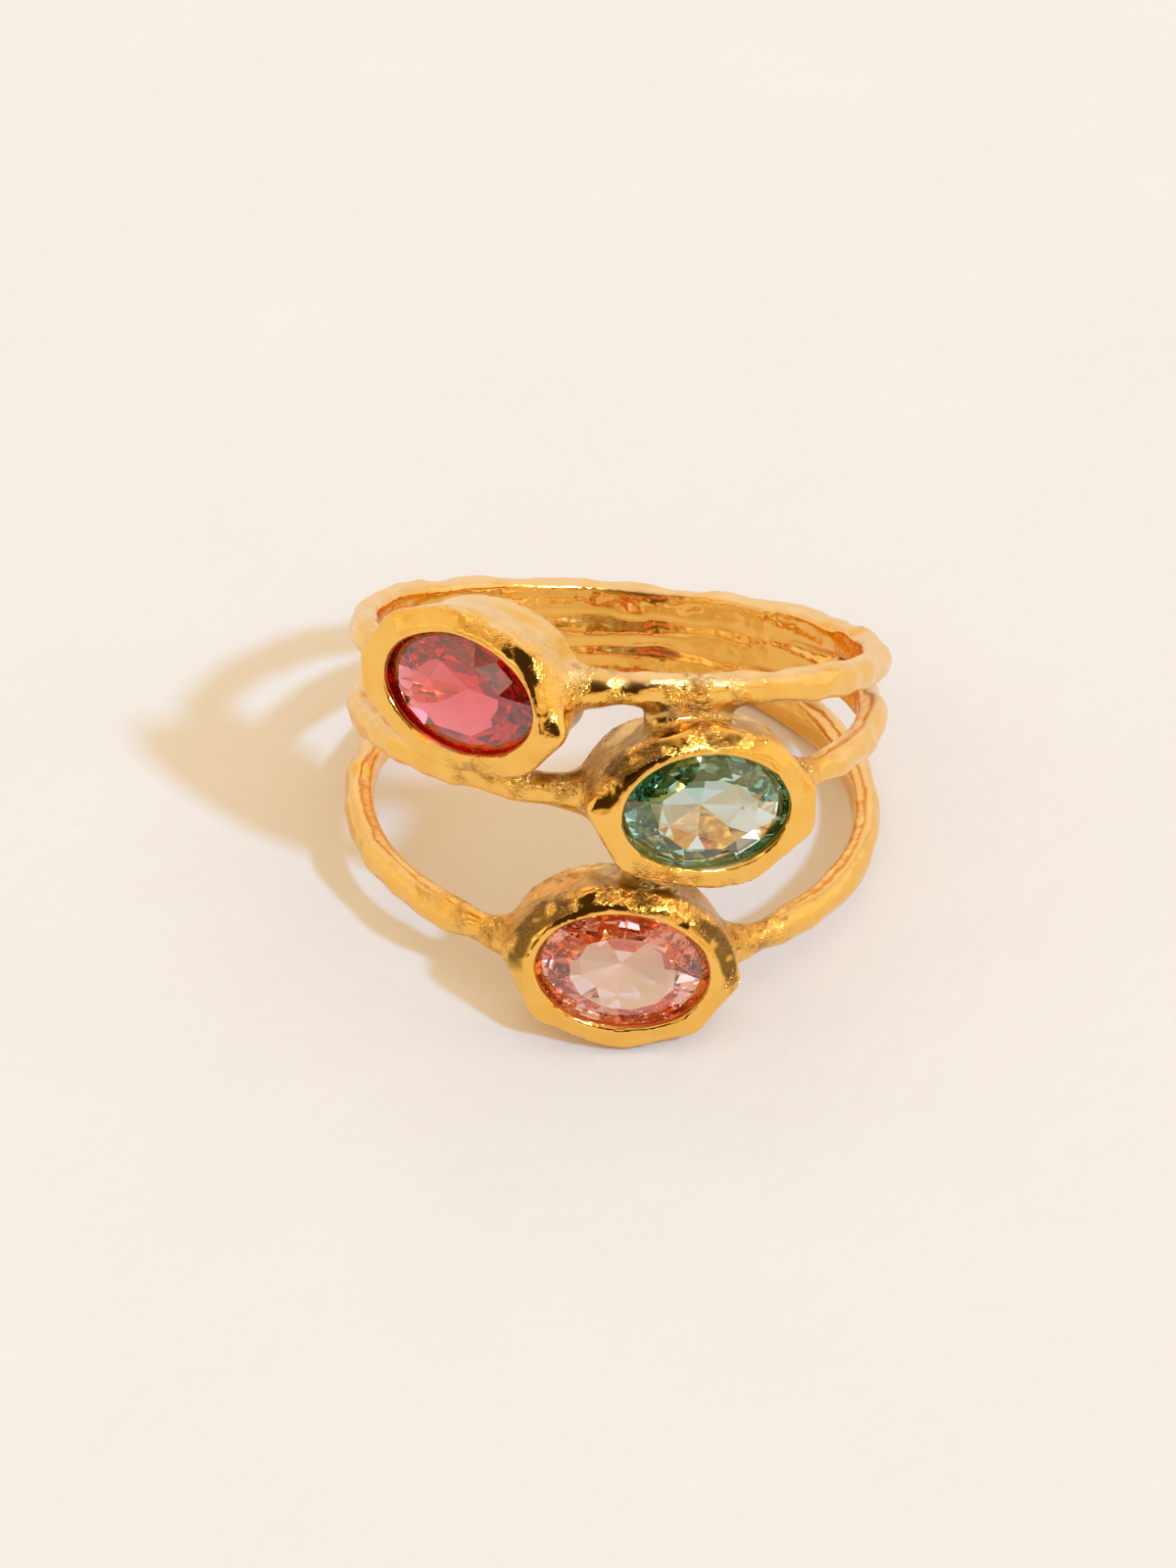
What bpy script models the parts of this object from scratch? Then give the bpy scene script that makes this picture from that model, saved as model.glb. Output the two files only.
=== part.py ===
"""A gold finger ring: three hammered wire bands, fused side by side at the back of the finger and
fanned out at the front, where each carries one oval faceted stone in a closed rim.

The ring lies on its side as it does on a table, so +Z is up, the stones look towards -Y, and the
origin is under the middle of the ring on the surface that it lies on. Inside that, everything is
worked out in the ring's own frame: X to the right, Y to the back of the finger, Z along the finger.
"""

import math
import random
from collections import namedtuple

import bmesh
import bpy
from mathutils import Matrix, Vector

MM = 0.001

# Finger and wire
FINGER_DIAMETER = 17.8 * MM
WIRE_THICKNESS = 1.1 * MM  # away from the finger
WIRE_WIDTH = 1.36 * MM  # along the finger
WIRE_INNER_FLAT = 0.1 * MM  # how much of the wire's round is flattened where it meets the finger
WIRE_INNER_WAVE = 0.02 * MM  # how uneven the hammer left that side
SEAM_OVERLAP = 0.5 * MM  # how far neighbouring bands run into each other in the fused shank
SHANK_SQUARENESS = 1.4  # how boxy the wires are there, 0 for plain ovals

# Stones: ovals with a flat table, held by their widest line, the girdle
STONE_LENGTH = 7.0 * MM
STONE_WIDTH = 5.2 * MM
CROWN_HEIGHT = 0.7 * MM
GIRDLE_HEIGHT = 0.12 * MM
PAVILION_DEPTH = 1.35 * MM
TABLE_SHARE = 0.56  # the flat table's size as a share of the stone's
STAR_SHARE = 0.76  # where the small facets round the table end
LOWER_SHARE = 0.3  # where the long facets under the girdle end

# Settings: each is a closed rim round its stone, standing on its band
SETTING_HEIGHT = 2.1 * MM  # from the finger to the top of the lip
LIP_COVER = 0.36 * MM  # how far the lip reaches in over the stone
RIM_END_WIDTH = 1.16 * MM  # the rim's face at the two ends of the oval
RIM_SIDE_WIDTH = 0.84 * MM  # the rim's face along the two sides
RIM_FALL = 0.2 * MM  # how far the rim's outer ridge lies below the lip
SEAT_LEDGE = 0.45 * MM  # the ledge under the girdle
STONE_CLEARANCE = 0.1 * MM
BASE_RECESS = 0.12 * MM  # the settings stand back from the finger, so that only the wires touch it
CROWN_SHOWS = 0.15 * MM  # how far the table stands above the lip

# Fan of the bands: heights along the finger from the middle of the ring
SHANK_MIDDLE = -0.22 * MM  # the middle band at the back
FRONT_MIDDLE = 1.74 * MM  # the middle band at the front
UPPER_CLEAR = 1.1 * MM  # from the middle setting's upper edge to the middle of the upper band
SETTINGS_APART = 0.08 * MM  # between the middle setting and the lower one
SOLDER_BITE = 0.45 * MM  # how far a solder joint runs into what it joins

# The ring lies on its lower setting and on the lower band to the left and the right of its back
REST_FLAT = 0.14 * MM  # depth of the worn flats there
REST_TURN = math.radians(-7)  # about the upright, so that all three stones look this way

# Fineness of the faceted surfaces
BAND_STEPS = 96
WIRE_SIDES = 10
OVAL_SIDES = 40
FINGER_SIDES = 120

GOLD = (0.93, 0.62, 0.22)

FINGER_RADIUS = FINGER_DIAMETER / 2
WIRE_CENTRE = FINGER_RADIUS + WIRE_THICKNESS / 2 - WIRE_INNER_FLAT
OPENING = Vector((STONE_LENGTH / 2 - LIP_COVER, STONE_WIDTH / 2 - LIP_COVER))
RIDGE = OPENING + Vector((RIM_END_WIDTH, RIM_SIDE_WIDTH))
LIP_LEVEL = FINGER_RADIUS + SETTING_HEIGHT
RIDGE_LEVEL = LIP_LEVEL - RIM_FALL
GIRDLE_TOP = LIP_LEVEL + CROWN_SHOWS - CROWN_HEIGHT
GIRDLE_FOOT = GIRDLE_TOP - GIRDLE_HEIGHT
UPPER_RISE = STONE_WIDTH / 2 - LIP_COVER + UPPER_CLEAR + RIM_SIDE_WIDTH
LOWER_DROP = 2 * RIDGE.y + SETTINGS_APART
LOWER_LIFT = 0.05  # the lower setting stands this share of its half width above its band

# place: 1, 0 or -1, its place in the fused shank. spread: how much wider it is there, as a share.
# front: its height at the front. lean: how much higher it is on the right than on the left, halved.
# bend: how much it bows up in front of its right side. late: under 1, it leaves its neighbours
# early. seed: of its hammer marks.
Band = namedtuple("Band", "name place spread front lean bend late seed")
LOWER_FRONT = FRONT_MIDDLE - LOWER_DROP - LOWER_LIFT * RIDGE.y
BANDS = (
    Band("upper", 1, 0.06, FRONT_MIDDLE + UPPER_RISE, 0.0, 0.16 * MM, 0.95, 11),
    Band("middle", 0, 0.24, FRONT_MIDDLE, 0.33 * MM, -0.2 * MM, 0.95, 23),
    Band("lower", -1, 0.24, LOWER_FRONT, -0.22 * MM, -0.08 * MM, 0.85, 37),
)

# at: degrees round the finger from the front, to the right. turn: degrees in its own plane.
# lift: its height above its band, as a share of its own half width.
# flats: the hammered outline, as (degrees of the flat's direction, reach as a share of the oval's).
Setting = namedtuple("Setting", "stone band at turn lift colour flats")
SETTINGS = (
    Setting("red_stone", "upper", -24.9, -0.5, -0.05, (0.62, 0.02, 0.09), (
        (4, 0.99), (38, 1.0), (72, 0.99), (112, 1.0), (150, 0.99), (190, 1.0), (232, 0.98),
        (275, 0.99), (322, 0.96))),
    Setting("aqua_stone", "middle", 24.4, -5.8, 0.02, (0.30, 0.62, 0.58), (
        (8, 0.98), (40, 0.96), (78, 1.0), (112, 0.98), (146, 0.94), (214, 0.95), (262, 0.98),
        (312, 0.97))),
    Setting("pink_stone", "lower", 9.7, -6.2, LOWER_LIFT, (0.86, 0.52, 0.56), (
        (14, 0.99), (48, 0.98), (86, 1.0), (124, 0.96), (150, 0.97), (212, 0.95), (255, 0.99),
        (292, 0.98), (328, 0.95))),
)

# The outer wall of a setting from its foot up: level as a share of the wall's height above the
# finger, spread as a share of the ridge's outline.
WallSection = namedtuple("WallSection", "level spread")
WALL = (
    WallSection(-0.62, 0.95),
    WallSection(0.2, 0.965),
    WallSection(0.62, 0.985),
    WallSection(0.93, 1.0),
)

# The rim's face from the ridge in to the lip: across as a share of the rim's width, rise as a
# share of the fall between lip and ridge.
RimSection = namedtuple("RimSection", "across rise")
RIM = (
    RimSection(0.06, 0.08),
    RimSection(0.5, 0.72),
    RimSection(0.92, 1.0),
)


def shank_share(angle):
    """1 at the back of the finger, falling away towards the sides."""
    return ((1 - math.cos(angle)) / 2) ** 4


def wire_width(band, angle):
    return WIRE_WIDTH * (1 + band.spread * shank_share(angle))


def wire_height(band, angle):
    """Height along the finger of a band's centre line at an angle round it, 0 at the front."""
    middle = BANDS[1]
    shared_width = (wire_width(band, math.pi) + wire_width(middle, math.pi)) / 2
    back = SHANK_MIDDLE + band.place * (shared_width - SEAM_OVERLAP)
    forward = ((1 + math.cos(angle)) / 2) ** band.late
    sideways = band.lean * math.sin(angle) + band.bend * math.sin(2 * angle)
    return back + (band.front - back) * forward + sideways * min(1, 1 + math.cos(angle))


def hammer_marks(band):
    """Where the hammer fell on a band: angle round the finger, direction round the wire, bite."""
    dice = random.Random(band.seed)
    count = 40
    marks = []
    for k in range(count):
        angle = 2 * math.pi * (k + dice.uniform(-0.35, 0.35)) / count
        side = math.radians(dice.uniform(-120, 120))
        bite = dice.uniform(0.06, 0.17)
        marks.append((angle, side, bite))
    return marks


def hammered_radius(band, side, angle, marks):
    """Distance of the wire's surface from its centre line, flattened by the marks nearby."""
    half_thickness = WIRE_THICKNESS / 2
    half_width = wire_width(band, angle) / 2
    power = 2 + SHANK_SQUARENESS * shank_share(angle)

    def reach_of_plane(towards):
        return math.hypot(half_thickness * math.cos(towards), half_width * math.sin(towards))

    across = abs(math.cos(side) / half_thickness) ** power
    radius = (across + abs(math.sin(side) / half_width) ** power) ** (-1 / power)
    for mark_angle, mark_side, bite in marks:
        along = math.remainder(angle - mark_angle, 2 * math.pi) * WIRE_CENTRE
        facing = math.cos(side - mark_side)
        if facing > 0.2 and abs(along) < 2 * WIRE_WIDTH:
            dish = 0.06 * along**2 / half_width
            plane = reach_of_plane(mark_side) * (1 - bite) + dish
            radius = min(radius, plane / facing)
    inwards = -math.cos(side)
    if inwards > 0.05:
        wave = WIRE_INNER_WAVE * math.sin(7 * angle + band.seed)
        radius = min(radius, (half_thickness - WIRE_INNER_FLAT + wave) / inwards)
    return radius


def add_object(name, mesh_maker, parent=None, matrix=None):
    mesh = bpy.data.meshes.new(name)
    bm = bmesh.new()
    mesh_maker(bm)
    bmesh.ops.recalc_face_normals(bm, faces=bm.faces)
    bm.to_mesh(mesh)
    bm.free()
    obj = bpy.data.objects.new(name, mesh)
    bpy.context.scene.collection.objects.link(obj)
    obj.parent = parent
    if matrix is not None:
        obj.matrix_local = matrix
    return obj


def make_helper(obj):
    """A body that only goes into a join or a cut is not shown by itself."""
    obj.hide_render = True
    obj.display_type = "WIRE"
    return obj


def spin_band(band):
    """A round wire spun about the finger, then moved to the band's path and hammered."""
    marks = hammer_marks(band)

    def maker(bm):
        to_section = Matrix.Translation((0, -WIRE_CENTRE, 0)) @ Matrix.Rotation(math.pi / 2, 4, "Y")
        bmesh.ops.create_circle(bm, segments=WIRE_SIDES, radius=WIRE_THICKNESS / 2, matrix=to_section)
        bmesh.ops.spin(bm, geom=bm.verts[:] + bm.edges[:], axis=(0, 0, 1), cent=(0, 0, 0),
                       angle=2 * math.pi, steps=BAND_STEPS, use_merge=True)
        shift = 2 * math.pi / BAND_STEPS * band.place / 3
        for vert in bm.verts:
            angle = math.atan2(vert.co.x, -vert.co.y) + shift
            side = math.atan2(vert.co.z, vert.co.xy.length - WIRE_CENTRE)
            radius = hammered_radius(band, side, angle, marks)
            out = WIRE_CENTRE + radius * math.cos(side)
            up = wire_height(band, angle) + radius * math.sin(side)
            vert.co = (out * math.sin(angle), -out * math.cos(angle), up)

    return maker


def loft(rings):
    """Closed body through rings, each a list of as many points, joined in their order."""

    def maker(bm):
        made = bmesh.ops.create_circle(bm, segments=len(rings[0]), radius=1, cap_ends=True)
        loop = made["verts"]
        for vert, point in zip(loop, rings[0]):
            vert.co = point
        edges = [edge for edge in bm.edges if edge.is_boundary or len(edge.link_faces) == 1]
        bmesh.ops.delete(bm, geom=bm.faces[:], context="FACES_ONLY")
        for ring in rings[1:]:
            grown = bmesh.ops.extrude_edge_only(bm, edges=edges)["geom"]
            edges = [item for item in grown if isinstance(item, bmesh.types.BMEdge)]
            edges = [edge for edge in edges if all(v in grown for v in edge.verts)]
            loop = [item for item in grown if isinstance(item, bmesh.types.BMVert)]
            for vert, point in zip(loop, ring):
                vert.co = point
        bmesh.ops.holes_fill(bm, edges=bm.edges[:], sides=0)

    return maker


def oval_ring(half_length, half_width, level):
    ring = []
    for k in range(OVAL_SIDES):
        angle = 2 * math.pi * k / OVAL_SIDES
        ring.append(Vector((half_length * math.cos(angle), half_width * math.sin(angle), level)))
    return ring


def hammered_outline(setting):
    """The ridge's outline: an oval cut by the setting's flats, as points round it."""
    outline = []
    for point in oval_ring(RIDGE.x, RIDGE.y, 0):
        direction = point.normalized()
        reach = point.length * 1.03
        for degrees, share in setting.flats:
            flat = Vector((math.cos(math.radians(degrees)), math.sin(math.radians(degrees)), 0))
            support = math.hypot(RIDGE.x * flat.x, RIDGE.y * flat.y) * share
            facing = direction.dot(flat)
            if facing > 0.1:
                reach = min(reach, support / facing)
        outline.append(direction * reach)
    return outline


def setting_rings(setting):
    outline = hammered_outline(setting)
    wall_height = RIDGE_LEVEL - FINGER_RADIUS
    rings = []
    for section in WALL:
        level = Vector((0, 0, FINGER_RADIUS + section.level * wall_height))
        rings.append([point * section.spread + level for point in outline])
    lip = oval_ring(OPENING.x, OPENING.y, 0)
    for section in RIM:
        level = Vector((0, 0, RIDGE_LEVEL + section.rise * RIM_FALL))
        rings.append([a.lerp(b, section.across) + level for a, b in zip(outline, lip)])
    return rings


def cavity_rings():
    """The room for a stone: open through the lip, wide at the girdle, and open to the finger."""
    girdle = Vector((STONE_LENGTH, STONE_WIDTH)) / 2 + Vector((1, 1)) * STONE_CLEARANCE
    bore = girdle - Vector((1, 1)) * (SEAT_LEDGE + STONE_CLEARANCE)
    crown_slope = CROWN_HEIGHT / (STONE_WIDTH / 2 * (1 - TABLE_SHARE))
    pavilion_slope = PAVILION_DEPTH / (STONE_WIDTH / 2)
    levels = (
        (OPENING, LIP_LEVEL + SETTING_HEIGHT),
        (OPENING, GIRDLE_TOP + crown_slope * LIP_COVER + 1.5 * STONE_CLEARANCE),
        (girdle, GIRDLE_TOP + STONE_CLEARANCE),
        (girdle, GIRDLE_FOOT - STONE_CLEARANCE),
        (bore, GIRDLE_FOOT - STONE_CLEARANCE - pavilion_slope * SEAT_LEDGE),
        (bore, FINGER_RADIUS - SETTING_HEIGHT),
    )
    return [oval_ring(half.x, half.y, level) for half, level in levels]


def stone_corners():
    """Facet corners of an oval brilliant: eight kites, eight stars, sixteen facets at the girdle."""
    half = Vector((STONE_LENGTH, STONE_WIDTH)) / 2
    table_level = GIRDLE_TOP + CROWN_HEIGHT
    half_step = math.pi / 8

    def corner(step, share, level):
        angle = step * half_step
        return Vector((half.x * share * math.cos(angle), half.y * share * math.sin(angle), level))

    star_across = (STAR_SHARE * math.cos(half_step) - TABLE_SHARE) / (1 - TABLE_SHARE)
    lower_across = LOWER_SHARE * math.cos(half_step)
    corners = [Vector((0, 0, GIRDLE_FOOT - PAVILION_DEPTH))]
    for step in range(0, 16, 2):
        corners.append(corner(step, TABLE_SHARE, table_level))
        corners.append(corner(step + 1, STAR_SHARE, table_level - star_across * CROWN_HEIGHT))
        corners.append(corner(step + 1, LOWER_SHARE, GIRDLE_FOOT - PAVILION_DEPTH * (1 - lower_across)))
    for step in range(16):
        corners.append(corner(step, 1, GIRDLE_TOP))
        corners.append(corner(step, 1, GIRDLE_FOOT))
    return corners


def cut_stone(bm):
    corners = [bm.verts.new(point) for point in stone_corners()]
    bmesh.ops.convex_hull(bm, input=corners)
    bmesh.ops.dissolve_limit(bm, angle_limit=math.radians(0.5), verts=bm.verts, edges=bm.edges)


def solder_blob(half_sizes, matrix):
    """A melted-in joint: a ball drawn out along the finger's round."""

    def maker(bm):
        stretch = Matrix.Diagonal((*half_sizes, 1))
        bmesh.ops.create_uvsphere(bm, u_segments=14, v_segments=8, radius=1, matrix=matrix @ stretch)

    return maker


def upright_at(degrees, height=0.0, turn=0.0):
    """Frame at an angle round the finger: X along the finger's round, Y along the finger, Z out."""
    angle = math.radians(degrees)
    outwards = Vector((math.sin(angle), -math.cos(angle), 0))
    along = Vector((math.cos(angle), math.sin(angle), 0))
    frame = Matrix((along, Vector((0, 0, 1)), outwards)).transposed().to_4x4()
    frame.translation = Vector((0, 0, height))
    return frame @ Matrix.Rotation(math.radians(turn), 4, "Z")


def setting_height(setting):
    band = next(band for band in BANDS if band.name == setting.band)
    return wire_height(band, math.radians(setting.at)) + setting.lift * RIDGE.y


def solder_joints():
    """(name, angle, low edge, high edge, half length) of each joint between neighbours."""
    upper, middle, _ = BANDS
    red, aqua, pink = (setting_height(setting) for setting in SETTINGS)
    half_wire = WIRE_WIDTH / 2
    return (
        ("red_to_middle_band", -21.0, wire_height(middle, math.radians(-21.0)) + half_wire,
         red - RIDGE.y * 0.96, 0.2 * STONE_LENGTH),
        ("aqua_to_upper_band", 23.5, aqua + RIDGE.y * 0.92,
         wire_height(upper, math.radians(23.5)) - half_wire, 0.3 * STONE_LENGTH),
        ("aqua_to_pink", 16.0, pink + RIDGE.y * 0.94, aqua - RIDGE.y * 0.94, 0.2 * STONE_LENGTH),
    )


def add_boolean(obj, operation, other):
    modifier = obj.modifiers.new(f"{operation.lower()}_{other.name}", "BOOLEAN")
    modifier.operation = operation
    modifier.solver = "EXACT"
    modifier.object = other


def principled(name, colour, metallic, roughness, transmission=0.0):
    material = bpy.data.materials.new(name)
    material.use_nodes = True
    shader = material.node_tree.nodes["Principled BSDF"]
    shader.inputs["Base Color"].default_value = (*colour, 1)
    shader.inputs["Metallic"].default_value = metallic
    shader.inputs["Roughness"].default_value = roughness
    shader.inputs["Transmission Weight"].default_value = transmission
    return material


def resting_turn(points):
    """The turn that brings the three lowest places level: in front, and at the back on each side."""
    turn = Matrix.Identity(3)
    for _ in range(12):
        turned = [turn @ point for point in points]
        front = min((p for p in turned if p.y < 0), key=lambda p: p.z)
        left = min((p for p in turned if p.y > 0 and p.x < 0), key=lambda p: p.z)
        right = min((p for p in turned if p.y > 0 and p.x > 0), key=lambda p: p.z)
        upwards = (right - front).cross(left - front).normalized()
        turn = upwards.rotation_difference(Vector((0, 0, 1))).to_matrix() @ turn
    return turn


def lie_on_table(metal, pose):
    """Turns and moves the ring so that it lies on z = 0, centred over the origin."""
    graph = bpy.context.evaluated_depsgraph_get()
    points = [vert.co.copy() for vert in metal.evaluated_get(graph).to_mesh().vertices]
    turn = Matrix.Rotation(REST_TURN, 3, "Z") @ resting_turn(points)
    turned = [turn @ point for point in points]
    low = Vector([min(point[axis] for point in turned) for axis in range(3)])
    high = Vector([max(point[axis] for point in turned) for axis in range(3)])
    middle = (low + high) / 2
    pose.matrix_local = turn.to_4x4()
    pose.location = (-middle.x, -middle.y, -low.z - REST_FLAT)


def build():
    for obj in list(bpy.data.objects):
        bpy.data.objects.remove(obj)
    pose = bpy.data.objects.new("lie_on_table", None)
    bpy.context.scene.collection.objects.link(pose)

    bands = [add_object(f"{band.name}_band", spin_band(band), pose) for band in BANDS]
    metal = bands[0]
    metal.name = "ring_bands_and_settings"
    for band in bands[1:]:
        make_helper(band)

    def finger_bore(bm):
        radius = FINGER_RADIUS + BASE_RECESS
        bmesh.ops.create_cone(bm, cap_ends=True, segments=FINGER_SIDES, radius1=radius,
                              radius2=radius, depth=4 * FINGER_DIAMETER)

    bore = make_helper(add_object("finger_bore", finger_bore, pose))
    bodies, cavities = [], []
    for setting in SETTINGS:
        place = upright_at(setting.at, setting_height(setting), setting.turn)
        body = make_helper(add_object(f"{setting.stone}_rim", loft(setting_rings(setting)), pose, place))
        add_boolean(body, "DIFFERENCE", bore)
        cavity = add_object(f"{setting.stone}_cavity", loft(cavity_rings()), pose, place)
        stone = add_object(setting.stone, cut_stone, pose, place)
        stone.data.materials.append(principled(setting.stone, setting.colour, 0, 0.03, 1.0))
        bodies.append(body)
        cavities.append(make_helper(cavity))

    solders = []
    for name, degrees, low, high, half_length in solder_joints():
        half_height = abs(high - low) / 2 + SOLDER_BITE
        seat = upright_at(degrees, (low + high) / 2) @ Matrix.Translation((0, 0, WIRE_CENTRE + 0.15 * MM))
        blob = solder_blob((half_length, half_height, WIRE_THICKNESS * 0.55), Matrix.Identity(4))
        solders.append(make_helper(add_object(f"solder_{name}", blob, pose, seat)))

    for joined in (*bands[1:], *bodies, *solders):
        add_boolean(metal, "UNION", joined)
    for cavity in cavities:
        add_boolean(metal, "DIFFERENCE", cavity)
    metal.data.materials.append(principled("gold", GOLD, 1, 0.18))

    lie_on_table(metal, pose)

    def table_block(bm):
        size = 4 * FINGER_DIAMETER
        bmesh.ops.create_cube(bm, size=size, matrix=Matrix.Translation((0, 0, -size / 2)))

    add_boolean(metal, "DIFFERENCE", make_helper(add_object("table_block", table_block)))


build()
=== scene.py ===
# %% [markdown]
# # A gold ring with three stones
# The ring is one casting: three wire bands that are fused side by side at the back of the finger
# and fan out in front, where each one carries an oval stone in a closed rim. The wires and rims were
# beaten with a small hammer, and the whole was then polished.
#
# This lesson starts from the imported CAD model. It models the metal again with far more points, so
# that the hammer's soft flats show, cuts the stones, and then finishes, lights and looks at them.

# %% Load the CAD frame
import math
import random
from collections import namedtuple

import bmesh
import bpy
from mathutils import Euler, Matrix, Vector, noise
from mathutils.bvhtree import BVHTree


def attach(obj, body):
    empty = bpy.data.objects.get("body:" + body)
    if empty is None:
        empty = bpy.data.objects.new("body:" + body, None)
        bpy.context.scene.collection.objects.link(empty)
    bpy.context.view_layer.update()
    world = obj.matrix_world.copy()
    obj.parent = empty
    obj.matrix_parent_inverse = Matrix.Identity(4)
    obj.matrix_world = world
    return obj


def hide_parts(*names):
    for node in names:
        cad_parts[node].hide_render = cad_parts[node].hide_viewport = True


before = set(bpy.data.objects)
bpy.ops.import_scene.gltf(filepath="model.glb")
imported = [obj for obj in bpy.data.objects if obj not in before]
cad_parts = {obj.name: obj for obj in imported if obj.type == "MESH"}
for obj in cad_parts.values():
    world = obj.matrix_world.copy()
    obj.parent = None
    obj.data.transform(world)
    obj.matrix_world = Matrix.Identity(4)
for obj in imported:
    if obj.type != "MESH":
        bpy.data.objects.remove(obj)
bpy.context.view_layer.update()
scene = bpy.context.scene
MM = 0.001
print("CAD nodes:", sorted(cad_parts))

# %% [markdown]
# ## The view
# The ring lies on a table and is seen from in front and above, through a long lens, because a small
# thing that is seen from near by would look bent. The camera could be aimed with a Track To
# constraint. Three angles and a place are plainer here: they were measured from the photograph.

# %% Camera
VIEW_FROM = Vector((1.23, -248.10, 225.73)) * MM
VIEW_DOWN = math.radians(41.91)
VIEW_SIDEWAYS = math.radians(-0.51)
VIEW_ROLL = math.radians(0.94)
LENS = 276.67  # mm, on a sensor 36 mm wide


def add_camera():
    data = bpy.data.cameras.new("camera")
    data.sensor_fit = "HORIZONTAL"
    data.sensor_width = 36
    data.lens = LENS
    data.clip_start = 0.01
    camera = bpy.data.objects.new("camera", data)
    scene.collection.objects.link(camera)
    level = math.cos(VIEW_DOWN)
    forwards = Vector((math.sin(VIEW_SIDEWAYS) * level, math.cos(VIEW_SIDEWAYS) * level,
                       -math.sin(VIEW_DOWN)))
    turn = forwards.to_track_quat("-Z", "Y").to_matrix().to_4x4()
    camera.matrix_world = Matrix.Translation(VIEW_FROM) @ turn @ Matrix.Rotation(VIEW_ROLL, 4, "Z")
    scene.camera = camera
    return camera


camera = add_camera()
print("camera is", round(camera.location.length, 3), "m from the ring")

# %% [markdown]
# ## How the ring lies
# All metal is worked out in millimetres in the ring's own frame, because that is how a goldsmith
# thinks of it: Z along the finger, the front towards -Y. One matrix then lays it on the table, with
# its weight on the lowest rim and on two places of the lowest band. Millimetres also keep the
# numbers large enough for the remesh, which can't make cells smaller than 0.0001 of a unit.

# %% From the ring's frame to the table
RING_LIES = Matrix.LocRotScale(
    Vector((0.001, 1.3469, 4.6788)) * MM,
    Euler([math.radians(a) for a in (-16.2556, -0.6024, -6.8173)], "XYZ"),
    Vector((MM, MM, MM)),
)
along_finger = RING_LIES.to_3x3() @ Vector((0, 0, 1))
print("the ring leans back by", round(math.degrees(along_finger.angle(Vector((0, 0, 1)))), 1), "degrees")

# %% [markdown]
# ## Measures
# These are the CAD model's own measures, in millimetres, so the new metal fits the old.

# %% Finger, wire, stones and rims
FINGER_RADIUS = 8.9
WIRE_THICKNESS = 1.1
WIRE_WIDTH = 1.36
WIRE_INNER_FLAT = 0.1
WIRE_CENTRE = FINGER_RADIUS + WIRE_THICKNESS / 2 - WIRE_INNER_FLAT
SEAM_OVERLAP = 0.5
SHANK_SQUARENESS = 1.4

STONE = Vector((3.5, 2.6))  # half its length and width
CROWN_HEIGHT = 0.7
GIRDLE_HEIGHT = 0.12
TABLE_SHARE = 0.56  # a stone's flat table as a share of its outline

LIP_LEVEL = FINGER_RADIUS + 2.1
RIM_FALL = 0.2
RIDGE_LEVEL = LIP_LEVEL - RIM_FALL
LIP_OVERLAP = 0.36  # how far the lip reaches over the stone's edge
OPENING = STONE - Vector((LIP_OVERLAP, LIP_OVERLAP))
RIDGE = OPENING + Vector((1.16, 0.84))
GIRDLE_TOP = LIP_LEVEL + 0.15 - CROWN_HEIGHT
GIRDLE_FOOT = GIRDLE_TOP - GIRDLE_HEIGHT

# %% [markdown]
# Each band climbs or sinks along the finger as it goes round: at the back the three lie side by side,
# and in front they are spread apart. A drawn curve could hold that path. A formula of the angle does
# too, and the rims and the solder can then ask it how high a band is anywhere.

# %% The path of each band
Band = namedtuple("Band", "name place spread front lean bend late seed")
BANDS = (
    Band("upper", 1, 0.06, 5.92, 0.0, 0.16, 0.95, 11),
    Band("middle", 0, 0.24, 1.74, 0.33, -0.2, 0.95, 23),
    Band("lower", -1, 0.24, -4.654, -0.22, -0.08, 0.85, 37),
)


def shank_share(angle):
    """1 at the back of the finger, falling away towards the sides."""
    return ((1 - math.cos(angle)) / 2) ** 4


def wire_width(band, angle):
    return WIRE_WIDTH * (1 + band.spread * shank_share(angle))


def wire_height(band, angle):
    """Height along the finger of a band's centre line, at an angle from the front."""
    shared_width = (wire_width(band, math.pi) + wire_width(BANDS[1], math.pi)) / 2
    back = -0.22 + band.place * (shared_width - SEAM_OVERLAP)
    forward = ((1 + math.cos(angle)) / 2) ** band.late
    sideways = band.lean * math.sin(angle) + band.bend * math.sin(2 * angle)
    return back + (band.front - back) * forward + sideways * min(1, 1 + math.cos(angle))


for band in BANDS:
    print(band.name, "band, mm up at the front and back:",
          round(wire_height(band, 0), 2), round(wire_height(band, math.pi), 2))

# %% [markdown]
# ## The hammered wires
# Each band is round wire that was bent into a hoop and beaten. It could be a curve with a bevel, but
# a curve's section can't be dented. A circle spun about the finger gives a hoop whose every point
# has an angle round the finger and a side of the wire, and each hammer mark then flattens the
# points near it: a plane lies across the wire, and what stands out past it is pressed back.

# %% Spin and hammer the bands
BAND_STEPS = 420
WIRE_SIDES = 32
MARKS_ON_A_BAND = 40
MARK_DEPTHS = (0.06, 0.17)  # as shares of the wire
MARK_ROUNDING = 0.06
INNER_WAVE = 0.02


def hammer_marks(band):
    """Where the hammer fell: angle round the finger, direction round the wire, depth as a share."""
    dice = random.Random(band.seed)
    marks = []
    for k in range(MARKS_ON_A_BAND):
        angle = 2 * math.pi * (k + dice.uniform(-0.35, 0.35)) / MARKS_ON_A_BAND
        side = math.radians(dice.uniform(-120, 120))
        marks.append((angle, side, dice.uniform(*MARK_DEPTHS)))
    return marks


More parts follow.
